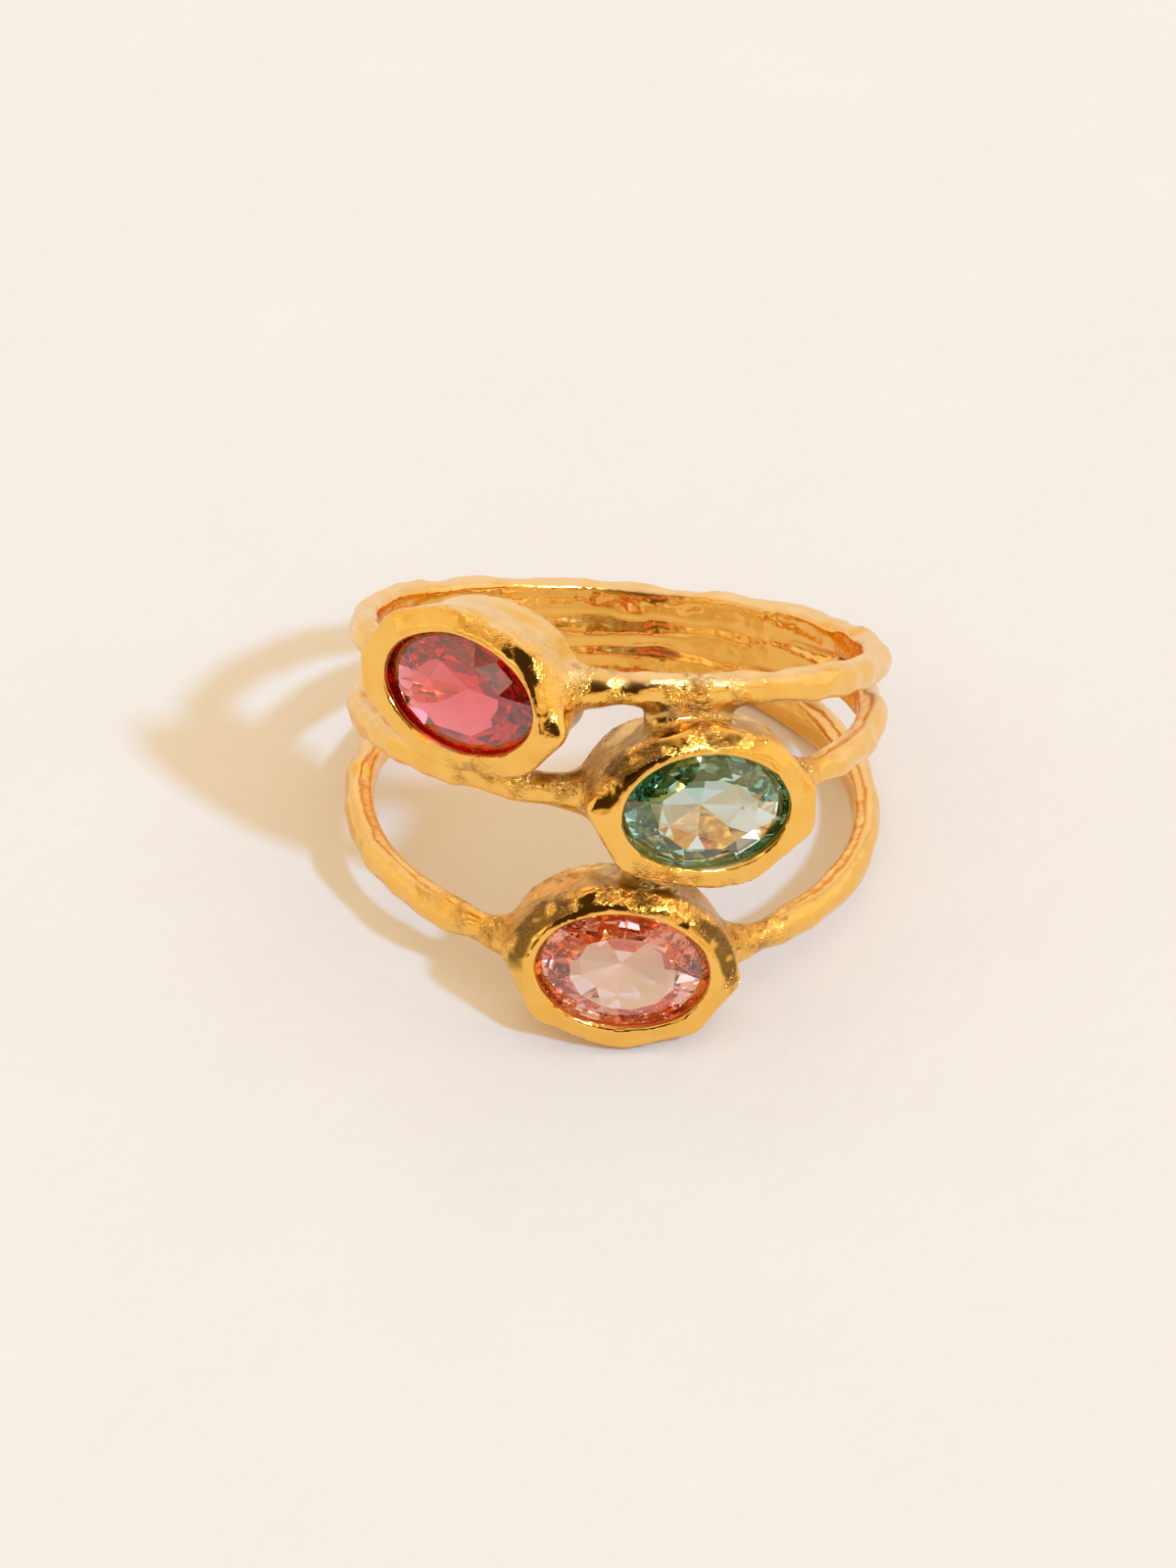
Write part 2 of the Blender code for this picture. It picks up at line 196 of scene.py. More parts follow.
def hammered_radius(band, side, angle, marks):
    half_thickness = WIRE_THICKNESS / 2
    half_width = wire_width(band, angle) / 2
    power = 2 + SHANK_SQUARENESS * shank_share(angle)
    across = abs(math.cos(side) / half_thickness) ** power
    radius = (across + abs(math.sin(side) / half_width) ** power) ** (-1 / power)
    for along, mark_side, bite in marks:
        facing = math.cos(side - mark_side)
        if facing > 0.2:
            reach = math.hypot(half_thickness * math.cos(mark_side), half_width * math.sin(mark_side))
            plane = reach * (1 - bite) + MARK_ROUNDING * along**2 / half_width
            radius = min(radius, plane / facing)
    inwards = -math.cos(side)
    if inwards > 0.05:
        wave = INNER_WAVE * math.sin(7 * angle + band.seed)
        radius = min(radius, (half_thickness - WIRE_INNER_FLAT + wave) / inwards)
    return radius


def spin_band(bm, band):
    to_section = Matrix.Translation((0, -WIRE_CENTRE, 0)) @ Matrix.Rotation(math.pi / 2, 4, "Y")
    circle = bmesh.ops.create_circle(bm, segments=WIRE_SIDES, radius=WIRE_THICKNESS / 2, matrix=to_section)
    start = circle["verts"]
    edges = list({edge for vert in start for edge in vert.link_edges})
    before = set(bm.verts) - set(start)
    bmesh.ops.spin(bm, geom=start + edges, axis=(0, 0, 1), cent=(0, 0, 0),
                   angle=2 * math.pi, steps=BAND_STEPS, use_merge=True)
    marks = hammer_marks(band)
    for vert in set(bm.verts) - before:
        angle = math.atan2(vert.co.x, -vert.co.y)
        side = math.atan2(vert.co.z, vert.co.xy.length - WIRE_CENTRE)
        near = []
        for mark_angle, mark_side, bite in marks:
            along = math.remainder(angle - mark_angle, 2 * math.pi) * WIRE_CENTRE
            if abs(along) < 2 * WIRE_WIDTH:
                near.append((along, mark_side, bite))
        radius = hammered_radius(band, side, angle, near)
        out = WIRE_CENTRE + radius * math.cos(side)
        up = wire_height(band, angle) + radius * math.sin(side)
        vert.co = (out * math.sin(angle), -out * math.cos(angle), up)


metal = bmesh.new()
for band in BANDS:
    spin_band(metal, band)
print("bands:", len(metal.verts), "points")

# %% [markdown]
# ## The rims
# Each stone sits in a closed rim that was beaten round it: a wall that stands on the wire, a ridge
# with a hammered, many-cornered outline, a face that was beaten back on the upper side, and a smooth
# collar pressed over the stone. A lathe can't make it, because it is oval and every corner differs,
# so it is lofted: an oval loop is extruded again and again, and each time the new loop is put in its
# place. `flats` says at which angle a hammer flat cuts the outline, and how near the middle. `falls`
# says where the face was beaten back, how deep in millimetres, and how many degrees that spreads.
# The wall's foot is left flat here, where the CAD model's is cut to the finger's round.

# %% Where the settings sit
Setting = namedtuple("Setting", "stone band at turn lift soft taper flats falls")
SETTINGS = (
    Setting("red_stone", "upper", -24.9, -0.5, -0.05, 5, 2.6, (
        (0, 1.0), (26, 0.88), (60, 0.97), (82, 0.99), (112, 1.0), (150, 0.99), (190, 1.0), (232, 0.98),
        (275, 0.99), (322, 0.985)), ((22, 0.42, 38), (75, 0.22, 40))),
    Setting("aqua_stone", "middle", 24.4, -5.8, 0.02, 3, 1.0, (
        (8, 0.98), (40, 0.96), (78, 1.0), (112, 0.98), (146, 0.94), (214, 0.95), (262, 0.98),
        (312, 0.97)), ((136, 0.42, 36), (88, 0.3, 36))),
    Setting("pink_stone", "lower", 9.7, -6.2, 0.05, 4, 1.0, (
        (14, 0.99), (48, 0.98), (86, 1.0), (124, 0.96), (150, 0.97), (212, 0.95), (255, 0.99),
        (292, 0.98), (328, 0.95)), ((155, 0.44, 46), (92, 0.3, 35), (28, 0.42, 40))),
)


def setting_height(setting):
    band = next(band for band in BANDS if band.name == setting.band)
    return wire_height(band, math.radians(setting.at)) + setting.lift * RIDGE.y


def upright_at(degrees, height=0.0, turn=0.0):
    """Frame at an angle round the finger: X along its round, Y along the finger, Z outwards."""
    angle = math.radians(degrees)
    outwards = Vector((math.sin(angle), -math.cos(angle), 0))
    along = Vector((math.cos(angle), math.sin(angle), 0))
    place = Matrix((along, Vector((0, 0, 1)), outwards)).transposed().to_4x4()
    place.translation = Vector((0, 0, height))
    return place @ Matrix.Rotation(math.radians(turn), 4, "Z")


PLACES = {s.stone: upright_at(s.at, setting_height(s), s.turn) for s in SETTINGS}
TO_SETTING = {name: place.inverted() for name, place in PLACES.items()}
for name, place in PLACES.items():
    print(name, "is", round(place.translation.z, 2), "mm up the finger")

# %% Loft the rims
OVAL_SIDES = 160
WALL = ((-0.62, 0.95), (-0.2, 0.955), (0.2, 0.965), (0.45, 0.98), (0.62, 0.985), (0.8, 0.997),
        (0.92, 1.0), (0.98, 0.995))  # shares of the way up to the ridge and out to it
FACE = ((0.08, 0.12), (0.2, 0.32), (0.33, 0.52), (0.46, 0.72), (0.58, 0.92), (0.7, 1.06),
        (0.82, 1.12), (0.92, 1.1), (1.0, 1.0))  # shares of the way in to the lip and up to it
COLLAR = 0.62  # the smooth collar starts this far in from the ridge
DISH = 0.03
FOOT_SHARE = 0.985  # a wall's foot as a share of the plain oval


def oval(half, level, sides=OVAL_SIDES):
    ring = []
    for k in range(sides):
        angle = 2 * math.pi * k / sides
        ring.append(Vector((half[0] * math.cos(angle), half[1] * math.sin(angle), level)))
    return ring


def hammered_outline(setting):
    """The ridge's outline: an oval cut by the setting's flats."""
    outline = []
    for point in oval(RIDGE, 0):
        direction = point.normalized()
        reach = point.length * 1.03
        for degrees, share in setting.flats:
            flat = Vector((math.cos(math.radians(degrees)), math.sin(math.radians(degrees)), 0))
            facing = direction.dot(flat)
            if facing > 0.1:
                reach = min(reach, math.hypot(RIDGE.x * flat.x, RIDGE.y * flat.y) * share / facing)
        outline.append(direction * reach)
    for _ in range(setting.soft):
        sides = len(outline)
        outline = [(outline[k - 1] + outline[k] * 2 + outline[(k + 1) % sides]) / 4 for k in range(sides)]
    return outline


def fall_at(setting, point):
    """How far the hammer beat the rim's outer edge back in this direction."""
    degrees = math.degrees(math.atan2(point.y / RIDGE.y, point.x / RIDGE.x))
    fall = 0.0
    for at, deep, spread in setting.falls:
        away = math.remainder(degrees - at, 360) / spread
        fall = max(fall, deep * math.exp(-away * away))
    return fall


def setting_rings(setting):
    outline = hammered_outline(setting)
    lip = oval(OPENING, 0)
    falls = [fall_at(setting, point) for point in outline]
    rings = []
    for level, spread in WALL:
        up_to_ridge = min(1, max(0, (level - 0.3) / 0.6))
        ring = []
        for point, foot, fall in zip(outline, oval(RIDGE, 0), falls):
            height = FINGER_RADIUS + level * (RIDGE_LEVEL - fall - FINGER_RADIUS)
            foot = foot * (1 - (1 - spread) * setting.taper) * FOOT_SHARE
            ring.append(foot.lerp(point * spread, up_to_ridge) + Vector((0, 0, height)))
        rings.append(ring)
    for across, rise in FACE:
        dish = DISH * math.sin(math.pi * min(1, across / 0.75))
        past_collar = max(0, 1 - across / COLLAR) ** 1.3
        ring = []
        for ridge, edge, fall in zip(outline, lip, falls):
            level = RIDGE_LEVEL + rise * RIM_FALL - dish - past_collar * fall
            ring.append(ridge.lerp(edge, across) + Vector((0, 0, level)))
        rings.append(ring)
    return rings


def loft(bm, rings, place):
    """Closed body through rings, each a list of as many points, joined in their order."""
    loop = bmesh.ops.create_circle(bm, segments=len(rings[0]), radius=1)["verts"]
    edges = list({edge for vert in loop for edge in vert.link_edges})
    first_edges = edges
    for vert, point in zip(loop, rings[0]):
        vert.co = place @ point
    for ring in rings[1:]:
        grown = bmesh.ops.extrude_edge_only(bm, edges=edges)["geom"]
        loop = [item for item in grown if isinstance(item, bmesh.types.BMVert)]
        new = set(loop)
        edges = [item for item in grown if isinstance(item, bmesh.types.BMEdge) and set(item.verts) <= new]
        for vert, point in zip(loop, ring):
            vert.co = place @ point
    bmesh.ops.holes_fill(bm, edges=first_edges + edges, sides=0)


for setting in SETTINGS:
    loft(metal, setting_rings(setting), PLACES[setting.stone])
print("bands and rims:", len(metal.verts), "points")

# %% [markdown]
# ## The solder joints
# Where two neighbours touch, solder has run between them and left a small saddle of gold. A ball,
# drawn out along the finger's round, is enough: the remesh below melts it into both sides. Smaller
# balls thicken each wire where it runs into its rim.

# %% Solder
UPPER, MIDDLE, LOWER = BANDS
RED, AQUA, PINK = SETTINGS
RUN_IN = 25  # degrees from a setting's middle to where its wire runs in
RUN_IN_SIZES = (1.5, 0.86, 0.68)
joints = []  # middle and reach of each: three of solder first, then two beside each setting


def add_ball(bm, degrees, height, half_sizes, out=0.0):
    """A ball at an angle round the finger: half sizes along its round, along the finger, outwards."""
    seat = upright_at(degrees, height) @ Matrix.Translation((0, 0, WIRE_CENTRE + out))
    stretch = Matrix.Diagonal((*half_sizes, 1))
    bmesh.ops.create_uvsphere(bm, u_segments=32, v_segments=20, radius=1, matrix=seat @ stretch)
    joints.append((seat.translation.copy(), max(half_sizes) + 0.6))


def solder(bm, degrees, low, high, half_length, thickness=0.6, bite=0.45, out=0.15):
    half_height = abs(high - low) / 2 + bite
    add_ball(bm, degrees, (low + high) / 2, (half_length, half_height, thickness), out)


solder(metal, -21.0, wire_height(MIDDLE, math.radians(-21)) + WIRE_WIDTH / 2,
       setting_height(RED) - RIDGE.y * 0.96, 1.4)
solder(metal, 22.5, setting_height(AQUA) + RIDGE.y * 0.92,
       wire_height(UPPER, math.radians(22.5)) - WIRE_WIDTH / 2, 1.8, 0.5, 0.45, -0.15)
solder(metal, 16.0, setting_height(PINK) + RIDGE.y * 0.94, setting_height(AQUA) - RIDGE.y * 0.94, 1.4)
for setting in SETTINGS:
    band = next(band for band in BANDS if band.name == setting.band)
    for side in (-1, 1):
        at = setting.at + side * RUN_IN
        add_ball(metal, at, wire_height(band, math.radians(at)), RUN_IN_SIZES)

# %% [markdown]
# ## One casting
# The bodies so far only overlap. Boolean unions would join them with knife-sharp seams, which cast
# gold never has. A voxel remesh lays a skin of small cells over all of them at once, and smoothing
# then rounds every inner corner, as wax does. The rooms for the stones are cut after that, so that
# the edges round the stones stay crisp.

# %% Melt the bodies together
CELL = 0.12
JOINT_ROUNDS = 70  # how often each surface is rounded
SKIN_ROUNDS = 3
DIMPLE_ROUNDS = 2


def object_from(bm, name):
    mesh = bpy.data.meshes.new(name)
    bmesh.ops.recalc_face_normals(bm, faces=bm.faces)
    bm.to_mesh(mesh)
    bm.free()
    obj = bpy.data.objects.new(name, mesh)
    scene.collection.objects.link(obj)
    return obj


def apply_modifiers(obj):
    """Puts what the modifiers make in place of the object's mesh."""
    graph = bpy.context.evaluated_depsgraph_get()
    mesh = bpy.data.meshes.new_from_object(obj.evaluated_get(graph))
    obj.modifiers.clear()
    old = obj.data
    obj.data = mesh
    bpy.data.meshes.remove(old)


def cut(obj, bm, name):
    """Takes a body away from the object."""
    cutter = object_from(bm, name)
    modifier = obj.modifiers.new(name, "BOOLEAN")
    modifier.operation = "DIFFERENCE"
    modifier.solver = "EXACT"
    modifier.object = cutter
    apply_modifiers(obj)
    bpy.data.objects.remove(cutter)


ring = object_from(metal, "gold_ring")
remesh = ring.modifiers.new("melt", "REMESH")
remesh.mode = "VOXEL"
remesh.voxel_size = CELL
apply_modifiers(ring)
print("melted:", len(ring.data.vertices), "points")


def soften(obj, weights, iterations):
    """Rounds the object's surface, as much at each point as its weight says."""
    group = obj.vertex_groups.new(name="soft")
    for k, weight in enumerate(weights):
        if weight > 0.01:
            group.add([k], weight, "REPLACE")
    modifier = obj.modifiers.new("soften", "SMOOTH")
    modifier.factor = 0.5
    modifier.iterations = iterations
    modifier.vertex_group = group.name
    apply_modifiers(obj)
    obj.vertex_groups.clear()


def on_face(point):
    """Whether a point is on the face of a rim, whose edges stay crisp."""
    for to_setting in TO_SETTING.values():
        local = to_setting @ point
        if local.z > RIDGE_LEVEL - 0.6 and math.hypot(local.x / RIDGE.x, local.y / RIDGE.y) < 1.12:
            return True
    return False


def nearness_to_joints(point):
    near = max(1 - (point - middle).length / reach for middle, reach in joints)
    if near <= 0 or on_face(point):
        return 0.0
    return min(1, near * 2.5)


soften(ring, [nearness_to_joints(vert.co) for vert in ring.data.vertices], JOINT_ROUNDS)
soften(ring, [0.0 if on_face(vert.co) else 1.0 for vert in ring.data.vertices], SKIN_ROUNDS)

# %% [markdown]
# ## Hammer dimples
# A ball-faced hammer leaves shallow round dimples that overlap, with low ridges between them. Cell
# noise gives just that: the distance to the nearest cell's middle is small in a dimple and largest
# on a ridge. Softer and wider noise on top keeps the wires from looking machined.

# %% Dimple the metal
DIMPLE_SPACING = 1.5
DIMPLE_DEPTH = 0.11
LUMP_SPACING = 1.9
LUMP_HEIGHT = 0.11
GROOVE_HEIGHT = 0.09
SEAM_DEPTH = 0.16
SEAM_WIDTH = 0.17
FUSED_BELOW = 1.6  # how far apart two bands' centre lines are where the bands part


def setting_share(point):
    """1 on a setting, 0 on the plain wire, and between in between."""
    share = 0.0
    for to_setting in TO_SETTING.values():
        local = to_setting @ point
        reach = math.hypot(local.x / (RIDGE.x + 0.1), local.y / (RIDGE.y + 0.1))
        if local.z > 0:
            share = max(share, min(1, max(0, (1.25 - reach) / 0.2)))
    return share


def seam_at(point):
    """How deep the seam between two fused bands is at a point."""
    angle = math.atan2(point.x, -point.y)
    wander = 0.14 * noise.noise(Vector((angle * 5, 0, point.z / 3)))
    depth = 0.0
    for one, other in ((UPPER, MIDDLE), (MIDDLE, LOWER)):
        high, low = wire_height(one, angle), wire_height(other, angle)
        fused = min(1, max(0, (FUSED_BELOW - (high - low)) / 0.5))
        away = (point.z + wander - (high + low) / 2) / SEAM_WIDTH
        depth = max(depth, fused * math.exp(-away * away))
    return depth * (0.7 + 0.6 * noise.noise(point / 1.7))


def unevenness(point, normal):
    """How far the hammer and the file left a point above or below the plain shape."""
    distances, _ = noise.voronoi(point / DIMPLE_SPACING)
    ridge = min(1, distances[0] / 0.75) ** 2
    lump = noise.noise(point / LUMP_SPACING + Vector((5, 0, 3)))
    groove = noise.noise(Vector((point.x / 4, point.y / 4, point.z / 0.55)))
    outwards = Vector((point.x, point.y, 0)).normalized()
    inside = min(1, max(0, -normal.dot(outwards) * 2))
    on_setting = setting_share(point)
    dented = (ridge - 0.4) * DIMPLE_DEPTH * (1 - 0.5 * on_setting)
    lumpy = lump * LUMP_HEIGHT * (1 - 0.55 * on_setting)
    uneven = (dented + lumpy) * (1 - 0.8 * inside) + groove * GROOVE_HEIGHT * inside * (1 - on_setting)
    return uneven - SEAM_DEPTH * seam_at(point)


moves = [vert.normal * unevenness(vert.co, vert.normal) for vert in ring.data.vertices]
for vert, move in zip(ring.data.vertices, moves):
    vert.co += move
ring.data.update()
soften(ring, [0.3 if on_face(vert.co) else 1.0 for vert in ring.data.vertices], DIMPLE_ROUNDS)
print("uneven by up to", round(max(m.length for m in moves), 3), "mm")

# %% [markdown]
# ## Rooms for the stones
# A setter drills through the wall and cuts a seat, so that the stone drops in and light comes in from
# behind. One oval body with the stone's girdle, its seat and the open bore under it is lofted as the
# rims were, and a Boolean takes it away. That comes after the melting, so its edges stay crisp.

# %% Cut the rooms for the stones
CLEARANCE = 0.06
LIP_GAP = 0.02
LEDGE = 0.3  # how far the seat reaches in under the girdle


def cavity_rings():
    girdle = STONE + Vector((CLEARANCE, CLEARANCE))
    bore = STONE - Vector((LEDGE, LEDGE))
    crown_slope = CROWN_HEIGHT / (STONE.y * (1 - TABLE_SHARE))
    levels = (
        (OPENING + Vector((0.5, 0.5)), LIP_LEVEL + 0.6),
        (OPENING + Vector((0.12, 0.12)), LIP_LEVEL + 0.04),
        (OPENING + Vector((0.05, 0.05)), LIP_LEVEL - 0.03),
        (OPENING, LIP_LEVEL - 0.14),
        (OPENING, GIRDLE_TOP + crown_slope * LIP_OVERLAP + LIP_GAP),
        (girdle, GIRDLE_TOP + CLEARANCE),
        (girdle, GIRDLE_FOOT - CLEARANCE),
        (bore, GIRDLE_FOOT - CLEARANCE - 0.26),
        (bore, FINGER_RADIUS - 2),
    )
    return [oval(half, level) for half, level in levels]


for setting in SETTINGS:
    room = bmesh.new()
    loft(room, cavity_rings(), PLACES[setting.stone])
    cut(ring, room, setting.stone + "_room")
print("with rooms for the stones:", len(ring.data.vertices), "points")

# %% [markdown]
# ## Where it is grainy, where shade and a highlight are painted, and how deep
# The casting's skin was left grainy where the polishing wheel couldn't reach, on the beaten upper
# sides of the two lower settings and round the solder. In the hollows between their ridges and
# collars the gold's colour is darkened as a painted dark reflection. What faces up was only rubbed,
# so it is satin and rougher, and its colour there is also painted paler, as a highlight. Deep places
# between the bands are painted darker, as shade. It could be painted by hand on the mesh. Working it
# out from the shape is quicker to change: each is kept as a number at every point, which the gold's
# finish reads.

# %% Grain and painted dark reflections in the hollows


def share_between(value, low, high):
    return min(1, max(0, (value - low) / (high - low)))


def mark(name, values):
    attribute = ring.data.attributes.new(name, "FLOAT", "POINT")
    attribute.data.foreach_set("value", values)
    print(name, "at", sum(value > 0.5 for value in values), "points")


def grain_at(point):
    grain = 0.0
    for setting, strength in ((RED, 0.25), (AQUA, 1.0), (PINK, 1.0)):
        local = TO_SETTING[setting.stone] @ point
        if local.z < 0:
            continue
        reach = math.hypot(local.x / RIDGE.x, local.y / RIDGE.y)
        beaten = share_between(fall_at(setting, local), 0.08, 0.25)
        past_collar = share_between(reach, 0.84, 0.9) * share_between(reach, 1.6, 1.2)
        grain = max(grain, strength * beaten * past_collar)
    for middle, reach in joints[:3]:
        grain = max(grain, share_between(1 - (point - middle).length / reach, 0.0, 0.35))
    for middle, reach in joints[3:]:
        grain = max(grain, 0.8 * share_between(1 - (point - middle).length / reach, 0.3, 0.6))
    patchy = share_between(noise.noise(point / 0.9), -0.3, 0.1)
    return grain * patchy


def dark_reflection_at(point):
    """1 in the beaten hollows between a rim's ridge and its collar, where a dark reflection is painted."""
    hollow_dark_reflection = 0.0
    for setting in (AQUA, PINK):
        local = TO_SETTING[setting.stone] @ point
        if local.z < RIDGE_LEVEL - 0.9:
            continue
        reach = math.hypot(local.x / RIDGE.x, local.y / RIDGE.y)
        beaten = share_between(fall_at(setting, local), 0.2, 0.38)
        between = share_between(reach, 0.82, 0.86) * share_between(reach, 0.99, 0.95)
        hollow_dark_reflection = max(hollow_dark_reflection, beaten * between)
    return hollow_dark_reflection * share_between(noise.noise(point / 0.55), -0.45, -0.05)


points = ring.data.vertices
mark("grain", [grain_at(vert.co) for vert in points])
mark("hollow_dark_reflection", [dark_reflection_at(vert.co) for vert in points])

# %% Satin, with a painted highlight
UP = (RING_LIES.to_3x3().inverted() @ Vector((0, 0, 1))).normalized()


def lower_wall(point):
    """1 on the outer walls of the two lower settings, 0 away from them."""
    share = 0.0
    for setting in (AQUA, PINK):
        local = TO_SETTING[setting.stone] @ point
        reach = math.hypot(local.x / RIDGE.x, local.y / RIDGE.y)
        if local.z > 0:
            share = max(share, share_between(reach, 0.93, 0.97) * share_between(reach, 1.45, 1.25))
    return share


# Up-facing surfaces and the hoop's far sides are rougher satin, and their colour is painted paler as a
# highlight.
def satin_and_highlight_at(point, normal):
    if on_face(point) and normal.dot(UP) < 0.93:
        return 0.0
    outwards = Vector((point.x, point.y, 0)).normalized()
    upwards = share_between(normal.dot(UP), 0.45, 0.85)
    side = share_between(abs(outwards.x), 0.8, 0.97) * share_between(normal.dot(outwards), 0.4, 0.9)
    shown = (1 - lower_wall(point)) * (0.35 + 0.65 * share_between(point.z, -4, 0))
    return max(upwards, 0.45 * side) * shown * share_between(noise.noise(point / 1.3), -0.6, -0.2)


mark("satin_and_highlight", [satin_and_highlight_at(vert.co, vert.normal) for vert in points])

# %% [markdown]
# How deep a point lies is felt with a few rays: the more of them meet other gold close by, the deeper
# it is. The gold's colour is painted darker there, as shade.

# %% Depth, for painted shade
FEELERS = [Vector(d).normalized() for d in (
    (1, 1, 1), (-1, 1, 1), (1, -1, 1), (-1, -1, 1), (1, 1, -1), (-1, 1, -1), (1, -1, -1), (-1, -1, -1),
    (0, 0, 1), (0, 0, -1))]
FEELER_REACH = 3.5
# This gives the lower settings' walls more painted shade.
LOWER_WALL_DEPTH = 2.2  # the lower settings' walls count as if this many more feelers met gold


def depth_at(tree, point, normal):
    start = point + normal * 0.05
    met = LOWER_WALL_DEPTH * lower_wall(point) * (not on_face(point))
    for feeler in FEELERS:
        distance = tree.ray_cast(start, (normal * 1.05 + feeler).normalized(), FEELER_REACH)[3]
        if distance is not None:
            met += 1 - 0.6 * distance / FEELER_REACH
    return met / len(FEELERS)


feel = BVHTree.FromPolygons([vert.co for vert in points], [list(p.vertices) for p in ring.data.polygons])
mark("deep", [depth_at(feel, vert.co, vert.normal) for vert in points])

# %% [markdown]
# ## Lay it down
# The finished mesh is moved, not the object, because the ring's object has to stay at the origin.

# %% Lay the metal on the table
ring.data.transform(RING_LIES)
for vert in ring.data.vertices:
    vert.co.z = max(vert.co.z, 0.0)
ring.data.polygons.foreach_set("use_smooth", [True] * len(ring.data.polygons))
ring.data.update()
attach(ring, "root")
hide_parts("ring_bands_and_settings")
print("gold ring:", sum(len(p.vertices) - 2 for p in ring.data.polygons), "triangles")

# %% [markdown]
# ## Polished gold
# Gold has no colour of its own under the light: it tints what it reflects. So the finish is a metal
# whose base colour is the tint, with a little more or less polish from place to place, and a fine
# bump, because a hammered surface is never quite even. Nodes could be laid out by hand in the editor.
# A helper for each kind of node keeps the same thing readable as text.

# %% Helpers for nodes


def new_material(name):
    material = bpy.data.materials.new(name)
    material.use_nodes = True
    tree = material.node_tree
    return material, tree, tree.nodes["Principled BSDF"]


def noise_node(tree, coordinates, scale, detail=2.0, roughness=0.5):
    node = tree.nodes.new("ShaderNodeTexNoise")
    node.inputs["Scale"].default_value = scale
    node.inputs["Detail"].default_value = detail
    node.inputs["Roughness"].default_value = roughness
    tree.links.new(coordinates, node.inputs["Vector"])
    return node.outputs["Fac"]


def ramp_node(tree, value, *stops):
    """Colours or greys along a value from 0 to 1: each stop is a place and a colour."""
    node = tree.nodes.new("ShaderNodeValToRGB")
    elements = node.color_ramp.elements
    while len(elements) < len(stops):
        elements.new(0.5)
    for element, (place, colour) in zip(elements, stops):
        element.position = place
        element.color = (*colour, 1) if isinstance(colour, tuple) else (colour, colour, colour, 1)
    tree.links.new(value, node.inputs["Fac"])
    return node.outputs["Color"]


def bump_node(tree, height, strength, distance, under=None):
    node = tree.nodes.new("ShaderNodeBump")
    node.inputs["Strength"].default_value = strength
    node.inputs["Distance"].default_value = distance
    tree.links.new(height, node.inputs["Height"])
    if under:
        tree.links.new(under, node.inputs["Normal"])
    return node.outputs["Normal"]


def attribute_node(tree, name):
    node = tree.nodes.new("ShaderNodeAttribute")
    node.attribute_name = name
    return node.outputs["Fac"]


def mix_node(tree, factor, first, second):
    """The first colour where the factor is 0, the second where it is 1: each a colour or a socket."""
    node = tree.nodes.new("ShaderNodeMix")
    node.data_type = "RGBA"
    for name, value in (("A", first), ("B", second)):
        socket = next(s for s in node.inputs if s.name == name and s.type == "RGBA")
        if isinstance(value, tuple):
            socket.default_value = (*value, 1)
        else:
            tree.links.new(value, socket)
    tree.links.new(factor, node.inputs[0])
    return next(s for s in node.outputs if s.type == "RGBA")


print("the gold's nodes can read the marks:", [a.name for a in ring.data.attributes if a.domain == "POINT"])

# %% Gold
POLISHED = ((0.93, 0.52, 0.10), (0.97, 0.58, 0.14))
# Paler gold: a painted highlight where the satin mark is, over the rougher satin finish.
SATIN_AND_HIGHLIGHT = ((0.91, 0.62, 0.28), (0.96, 0.69, 0.36))
PITS = (0.50, 0.25, 0.05)
# Painted dark reflection in the beaten hollows of the two lower rims.
PAINTED_DARK_REFLECTION = (0.19, 0.095, 0.022)
# Painted shade where the gold is deep.
DEEP_SHADE = (0.53, 0.355, 0.14)


